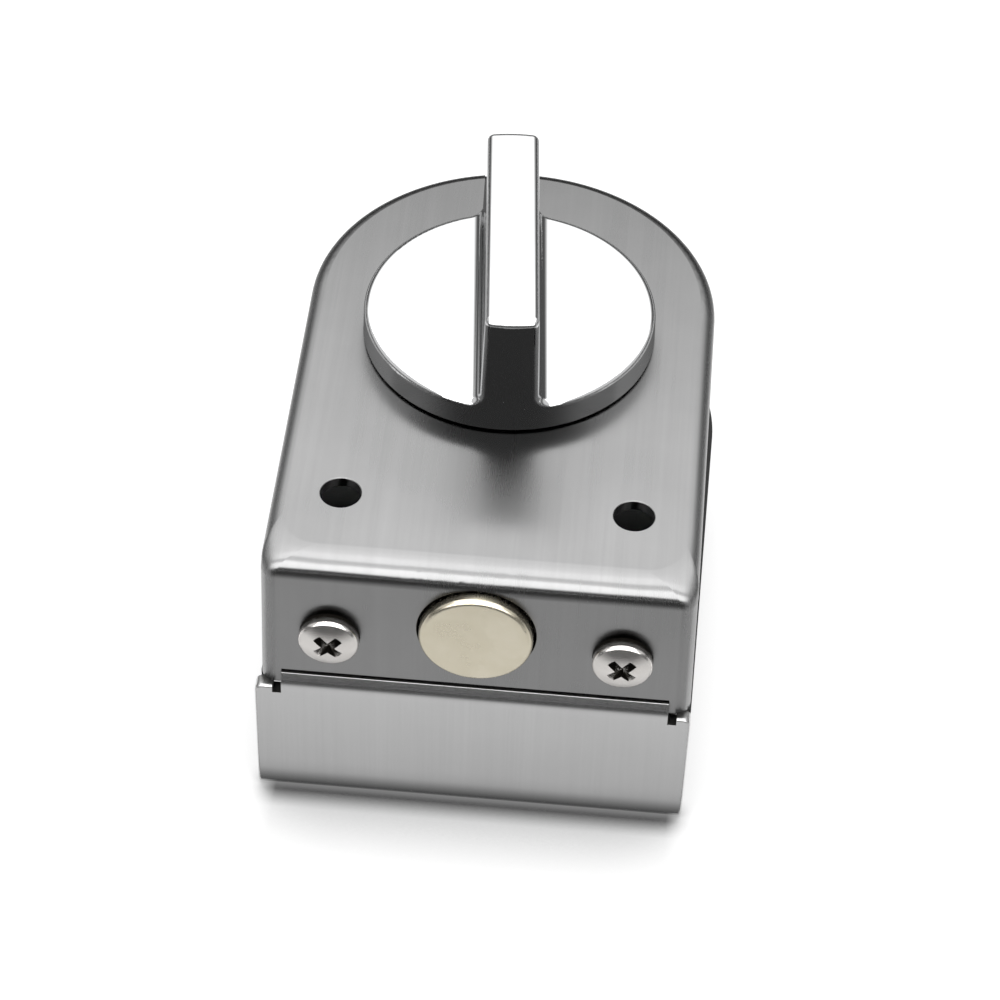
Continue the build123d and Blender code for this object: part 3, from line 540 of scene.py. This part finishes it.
def build_grain_group():
    """Fine and coarse streaks: Fine and Broad are masks, Height is for a bump."""
    tree, source, result = new_group(
        "metal_grain",
        [("Lines per metre", VECTOR, (5000.0, 60.0, 60.0)), ("Broad share", NUMBER, 0.2)],
        [("Fine", NUMBER), ("Broad", NUMBER), ("Height", NUMBER)],
    )
    place = add_node(tree, "ShaderNodeTexCoord")
    fine_place = add_node(tree, "ShaderNodeVectorMath", {"operation": "MULTIPLY"})
    tree.links.new(place.outputs["Object"], fine_place.inputs[0])
    tree.links.new(source.outputs["Lines per metre"], fine_place.inputs[1])
    broad_place = add_node(tree, "ShaderNodeVectorMath", {"operation": "SCALE"})
    tree.links.new(fine_place.outputs[0], broad_place.inputs[0])
    tree.links.new(source.outputs["Broad share"], broad_place.inputs["Scale"])
    fine = add_node(
        tree, "ShaderNodeTexNoise", Vector=fine_place.outputs[0], **FINE_NOISE
    )
    broad = add_node(
        tree, "ShaderNodeTexNoise", Vector=broad_place.outputs[0], **BROAD_NOISE
    )
    spread = [
        add_range(tree, texture.outputs["Fac"], *GRAIN_SPREAD, 0.0, 1.0)
        for texture in (fine, broad)
    ]
    height = add_math(tree, "ADD", spread[0], spread[1])
    tree.links.new(spread[0], result.inputs["Fine"])
    tree.links.new(spread[1], result.inputs["Broad"])
    tree.links.new(height, result.inputs["Height"])
    return tree


grain_group = build_grain_group()
print("group", grain_group.name, [s.name for s in grain_group.interface.items_tree])

# %% [markdown]
# ### Patches
# Fingers, oil and storage leave large soft areas where metal is a little duller. They
# are a slow noise with its middle values spread out.

# %% Build the patch group
PATCH_NOISE = {"Detail": 4.0, "Roughness": 0.55}
PATCH_SPREAD = (0.35, 0.65)


def build_patch_group():
    """Large soft patches, as a mask from 0 to 1."""
    tree, source, result = new_group(
        "handling_marks", [("Patches per metre", NUMBER, 60.0)], [("Patches", NUMBER)]
    )
    place = add_node(tree, "ShaderNodeTexCoord")
    patches = add_node(
        tree, "ShaderNodeTexNoise", Vector=place.outputs["Object"],
        Scale=source.outputs["Patches per metre"], **PATCH_NOISE,
    )
    soft = add_range(tree, patches.outputs["Fac"], *PATCH_SPREAD, 0.0, 1.0)
    tree.links.new(soft, result.inputs["Patches"])
    return tree


patch_group = build_patch_group()
print("group", patch_group.name)

# %% [markdown]
# ### Edges
# No real edge is sharp: deburring leaves a fillet of a tenth of a millimetre, which
# catches a thin line of light and wears first. The Bevel node looks round a point and
# gives the normal that such a fillet would have. Where it differs from the face's own
# normal there is an edge, and that difference is the wear mask.

# %% Build the edge group
BEVEL_SAMPLES = 6
EDGE_TURN = (0.995, 0.9)  # cosines of the turn that counts as no edge, and as a full one


def build_edge_group():
    """Rounded normal and a mask along edges."""
    tree, source, result = new_group(
        "edge_break",
        [("Radius", NUMBER, 0.0002)],
        [("Edge", NUMBER), ("Normal", VECTOR)],
    )
    rounded = add_node(
        tree, "ShaderNodeBevel", {"samples": BEVEL_SAMPLES}, Radius=source.outputs["Radius"]
    )
    face = add_node(tree, "ShaderNodeNewGeometry")
    alike = add_node(tree, "ShaderNodeVectorMath", {"operation": "DOT_PRODUCT"})
    tree.links.new(rounded.outputs["Normal"], alike.inputs[0])
    tree.links.new(face.outputs["Normal"], alike.inputs[1])
    edge = add_range(tree, alike.outputs["Value"], *EDGE_TURN, 0.0, 1.0)
    tree.links.new(edge, result.inputs["Edge"])
    tree.links.new(rounded.outputs["Normal"], result.inputs["Normal"])
    return tree


edge_group = build_edge_group()
print("group", edge_group.name)

# %% [markdown]
# ### Recesses
# Dirt, polish and old oil stay where no cloth reaches, and shade falls there too: in a
# screw's cross, in a socket, in the step under the end wall. Ambient occlusion measures how
# enclosed a point is, and that measure is the mask for this painted shade and the dirt. The
# table encloses the part's foot too, and the mask fades out just above it.

# %% Build the recess group
RECESS_SAMPLES = 8
TABLE_FADE = (0.5, 1.0)  # shares of the table gap between which the mask fades in


def build_recess_group():
    """A mask that is 1 in narrow recesses and 0 on open faces and just over the table."""
    tree, source, result = new_group(
        "deep_recess",
        [
            ("Reach", NUMBER, 0.0006), ("Open", NUMBER, 0.9), ("Closed", NUMBER, 0.6),
            ("Table gap", NUMBER, 0.003),
        ],
        [("Recess", NUMBER)],
    )
    enclosed = add_node(
        tree, "ShaderNodeAmbientOcclusion", {"samples": RECESS_SAMPLES},
        Distance=source.outputs["Reach"],
    )
    recess = add_range(
        tree, enclosed.outputs["AO"],
        source.outputs["Open"], source.outputs["Closed"], 0.0, 1.0,
    )
    place = add_node(tree, "ShaderNodeNewGeometry")
    spot = add_node(tree, "ShaderNodeSeparateXYZ", Vector=place.outputs["Position"])
    height = add_math(tree, "DIVIDE", spot.outputs["Z"], source.outputs["Table gap"])
    clear = add_range(tree, height, *TABLE_FADE, 0.0, 1.0)
    tree.links.new(add_math(tree, "MULTIPLY", recess, clear), result.inputs["Recess"])
    return tree


recess_group = build_recess_group()
print("group", recess_group.name)

# %% [markdown]
# ## One recipe for the metals
# All the metal finishes are the same stack: a base colour that the grain, the patches and
# the edges shift a little, a roughness that moves with them, and a bump over the rounded
# edge normal. Some have dirt and painted shade in their recesses too. What makes each one
# itself is its numbers, so there is one function, and each finish is a call with its own
# values.

# %% Write the metal recipe
# The colours that recesses take: painted shade with dirt, and on the back plate painted shade
# with dust.
DIRT_AND_SHADE = (0.02, 0.018, 0.015, 1.0)
DUST_AND_SHADE = (0.14, 0.14, 0.135, 1.0)
DIRT_ROUGHNESS = 0.7
RECESS_RANGE = (0.95, 0.75)  # how free a point is where painted shade and dirt set in, and where they are full
GRAIN_BROAD_SHARE = 0.2
GRAIN_RUN = (0.0, 1.0, 0.15)  # along the object, and tilted so that it holds on the end wall
EQUAL = 0.5


def add_group(tree, group, **inputs):
    """Places a shared node group in a material with its own values."""
    node = tree.nodes.new("ShaderNodeGroup")
    node.node_tree = group
    for name, value in inputs.items():
        feed(tree, node.inputs[name.replace("_", " ")], value)
    return node


def metal(
    name, bright, dull, smooth, rough, lines,
    edge_radius, relief, anisotropy=0.0, patches=60.0,
    recess_reach=0.0, recess_range=RECESS_RANGE, dirt_and_shade=DIRT_AND_SHADE,
):
    """A metal finish: two tones, two roughnesses, and the grain that moves between them."""
    material, tree, output = new_material(name)
    grain = add_group(
        tree, grain_group, Lines_per_metre=lines, Broad_share=GRAIN_BROAD_SHARE
    )
    marks = add_group(tree, patch_group, Patches_per_metre=patches)
    edges = add_group(tree, edge_group, Radius=edge_radius)
    streak = add_blend(tree, EQUAL, grain.outputs["Fine"], grain.outputs["Broad"])
    wear = add_blend(tree, EQUAL, marks.outputs["Patches"], streak)
    colour = add_tint(tree, wear, bright, dull)
    surface_colour = add_tint(tree, edges.outputs["Edge"], colour, bright)
    roughness = add_range(tree, wear, 0.0, 1.0, smooth, rough)
    # Recesses take a darker colour: painted shade where little light reaches, with some dirt.
    if recess_reach:
        corners = add_group(
            tree, recess_group,
            Reach=recess_reach, Open=recess_range[0], Closed=recess_range[1],
        )
        corner = corners.outputs["Recess"]
        surface_colour = add_tint(tree, corner, surface_colour, dirt_and_shade)
        roughness = add_blend(tree, corner, roughness, DIRT_ROUGHNESS)
    bump = add_node(
        tree, "ShaderNodeBump",
        Strength=1.0, Distance=relief, Height=grain.outputs["Height"],
        Normal=edges.outputs["Normal"],
    )
    shader = add_node(
        tree, "ShaderNodeBsdfPrincipled",
        Base_Color=surface_colour, Metallic=1.0, Roughness=roughness, Normal=bump.outputs["Normal"],
        Anisotropic=anisotropy,
    )
    if anisotropy:
        face = add_node(tree, "ShaderNodeNewGeometry")
        across = add_node(tree, "ShaderNodeVectorMath", {"operation": "CROSS_PRODUCT"})
        tree.links.new(face.outputs["Normal"], across.inputs[0])
        across.inputs[1].default_value = GRAIN_RUN
        tree.links.new(across.outputs["Vector"], shader.inputs["Tangent"])
    tree.links.new(shader.outputs["BSDF"], output.inputs["Surface"])
    return material


def tone(level, warm=0.0):
    """A finish's colour: grey, a little warmer or colder."""
    return (level * (1 + warm), level, level * (1 - warm), 1.0)


print("dirt_and_shade", DIRT_AND_SHADE[:3], "dust_and_shade", DUST_AND_SHADE[:3])

# %% [markdown]
# ## Brushed stainless
# The case and the back plate are stainless sheet, brushed along the object's length
# before it was pressed, so the grain runs over the top and on down the end wall. An
# anisotropic highlight smears reflections across the grain, as thousands of parallel
# scratches do.

# %% Make the stainless
ALONG_Y = (4200.0, 45.0, 45.0)
materials = {}
materials["case_steel"] = metal(
    "case_stainless", tone(0.31), tone(0.275), 0.24, 0.29, ALONG_Y,
    edge_radius=0.08 * MM, relief=0.0006 * MM, anisotropy=0.85,
)
# The plate darkens in the step under the end wall: painted shade, with a little dust.
materials["plate_steel"] = metal(
    "plate_stainless", tone(0.64), tone(0.59), 0.19, 0.24, ALONG_Y,
    edge_radius=0.05 * MM, relief=0.0006 * MM, anisotropy=0.75,
    recess_reach=1.6 * MM, recess_range=(0.97, 0.78), dirt_and_shade=DUST_AND_SHADE,
)
print("stainless:", [m.name for m in materials.values()])

# %% [markdown]
# ## Chrome, nickel, zinc, oxide and brass
# The turn is chromed and almost a mirror, the bolt's nickel is a little yellow, and the
# body is a casting, dull and soft at its edges. Screws are darker in their crosses and
# sockets, by dirt and by painted shade. Each could have a graph of its own, but the recipe's
# numbers are enough to tell them apart. Most have no direction, so their grain is as fine
# along as across. Many sit inside the lock and come into view only when it is taken apart.

# %% Make the other metals
EVEN = (900.0, 900.0, 900.0)
materials["turn_chrome"] = metal(
    "polished_chrome", tone(0.95, -0.004), tone(0.9, -0.004), 0.03, 0.06, EVEN,
    edge_radius=0.2 * MM, relief=0.0004 * MM, patches=90.0,
)
materials["bolt_nickel"] = metal(
    "nickel_plate", (0.82, 0.76, 0.62, 1.0), (0.74, 0.68, 0.53, 1.0), 0.2, 0.3, EVEN,
    edge_radius=0.05 * MM, relief=0.001 * MM, patches=220.0,
)
# The screw heads darken in their crosses: painted shade, with some dirt.
materials["screw_steel"] = metal(
    "screw_nickel", tone(0.86, 0.03), tone(0.74, 0.04), 0.16, 0.26, EVEN,
    edge_radius=0.05 * MM, relief=0.001 * MM, patches=300.0, recess_reach=1.2 * MM,
)
materials["zinc"] = metal(
    "zinc_casting", tone(0.46, -0.01), tone(0.36, -0.01), 0.38, 0.55, EVEN,
    edge_radius=0.3 * MM, relief=0.008 * MM, patches=150.0,
)
materials["cover_steel"] = metal(
    "zinc_plated_sheet", tone(0.56, -0.01), tone(0.48, 0.0), 0.24, 0.36, ALONG_Y,
    edge_radius=0.15 * MM, relief=0.002 * MM, patches=120.0,
)
# The black screws darken in their sockets: painted shade, with some dirt.
materials["black_steel"] = metal(
    "black_oxide", tone(0.06, -0.03), tone(0.035, -0.03), 0.28, 0.42, EVEN,
    edge_radius=0.15 * MM, relief=0.002 * MM, patches=300.0, recess_reach=1.5 * MM,
)
materials["steel"] = metal(
    "machined_steel", tone(0.54, -0.005), tone(0.45, 0.0), 0.2, 0.32, EVEN,
    edge_radius=0.12 * MM, relief=0.002 * MM, patches=200.0,
)
materials["spring_steel"] = metal(
    "spring_steel", tone(0.4, -0.01), tone(0.3, 0.02), 0.24, 0.36, EVEN,
    edge_radius=0.08 * MM, relief=0.001 * MM, patches=200.0,
)
materials["brass"] = metal(
    "machined_brass", (0.72, 0.55, 0.26, 1.0), (0.6, 0.44, 0.2, 1.0), 0.18, 0.3, EVEN,
    edge_radius=0.15 * MM, relief=0.001 * MM, patches=200.0,
)
print("metals:", len(materials))

# %% [markdown]
# ## Rubber and nylon
# The pads that touch the glass are black moulded rubber, and the washer under the turn is
# natural nylon. Neither is a metal: their colour comes from inside, and their skin has a
# fine even texture from the mould.

# %% Make the rubber and nylon
SKIN_BROAD_SHARE = 0.3
SKIN_PATCHES = 150.0
MOULD_EDGE = 0.15 * MM
EDGE_PALENESS = 0.5


def moulded(name, light, dark, smooth, rough, texture, relief):
    """A moulded, non-metal finish with a fine skin."""
    material, tree, output = new_material(name)
    skin = add_group(
        tree, grain_group, Lines_per_metre=(texture,) * 3, Broad_share=SKIN_BROAD_SHARE
    )
    marks = add_group(tree, patch_group, Patches_per_metre=SKIN_PATCHES)
    edges = add_group(tree, edge_group, Radius=MOULD_EDGE)
    mixed = add_blend(tree, EQUAL, skin.outputs["Fine"], marks.outputs["Patches"])
    colour = add_tint(tree, mixed, dark, light)
    pale_edge = add_math(tree, "MULTIPLY", edges.outputs["Edge"], EDGE_PALENESS)
    surface_colour = add_tint(tree, pale_edge, colour, light)
    bump = add_node(
        tree, "ShaderNodeBump",
        Strength=1.0, Distance=relief, Height=skin.outputs["Height"],
        Normal=edges.outputs["Normal"],
    )
    shader = add_node(
        tree, "ShaderNodeBsdfPrincipled",
        Base_Color=surface_colour, Roughness=add_range(tree, mixed, 0.0, 1.0, smooth, rough),
        Normal=bump.outputs["Normal"],
    )
    tree.links.new(shader.outputs["BSDF"], output.inputs["Surface"])
    return material


materials["rubber"] = moulded(
    "black_rubber", tone(0.045), tone(0.02), 0.55, 0.8, 3500.0, 0.02 * MM
)
materials["nylon"] = moulded(
    "natural_nylon", tone(0.8, 0.03), tone(0.7, 0.05), 0.35, 0.5, 1500.0, 0.004 * MM
)
print("moulded:", materials["rubber"].name, materials["nylon"].name)

# %% [markdown]
# ## Dress the solids
# Each CAD solid already has a material slot with the name of its finish. Its mesh stays
# as it is, and only the slot's material is exchanged.

# %% Put the materials on
for name, solid in sorted(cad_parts.items()):
    for slot in solid.material_slots:
        slot.material = materials[slot.material.name.split(".")[0]]
    print(name, "->", [slot.material.name for slot in solid.material_slots])
